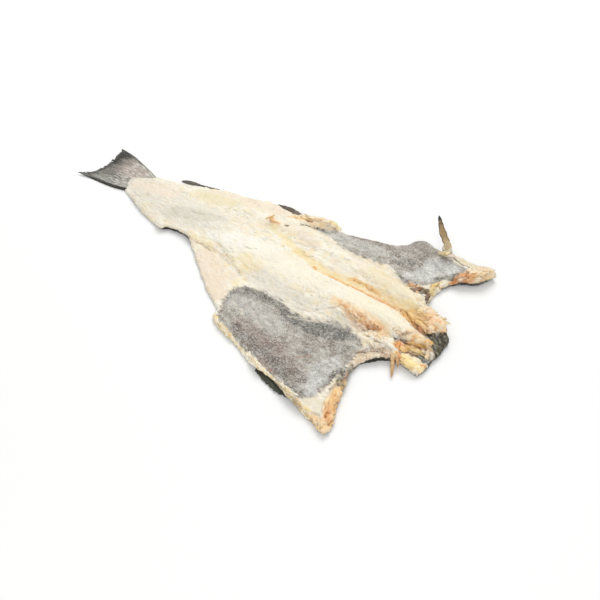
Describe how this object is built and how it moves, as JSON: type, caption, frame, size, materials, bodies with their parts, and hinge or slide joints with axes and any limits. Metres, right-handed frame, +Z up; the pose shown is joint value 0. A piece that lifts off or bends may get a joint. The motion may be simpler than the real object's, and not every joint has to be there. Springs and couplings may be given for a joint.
{
  "type": "salted dried cod",
  "caption": "Headless dried salt fish, split and opened flat: thin tail fin, thick cut neck, two wide belly flaps with grey membranes, lying flesh side up.",
  "frame": {"origin": "under the middle of the fish's bounding box, on the surface that it lies on", "axes": "+X from the tail fin to the cut neck, +Y across the fish to the flap with the raised pelvic fin, +Z up out of the flesh side"},
  "size_m": [0.6, 0.3591, 0.0454],
  "materials": {
    "dried_flesh": "dry, fibrous, matt, with a white bloom of salt"
  },
  "bodies": {
    "root": {"salted_cod": "dried_flesh"}
  },
  "joints": []
}
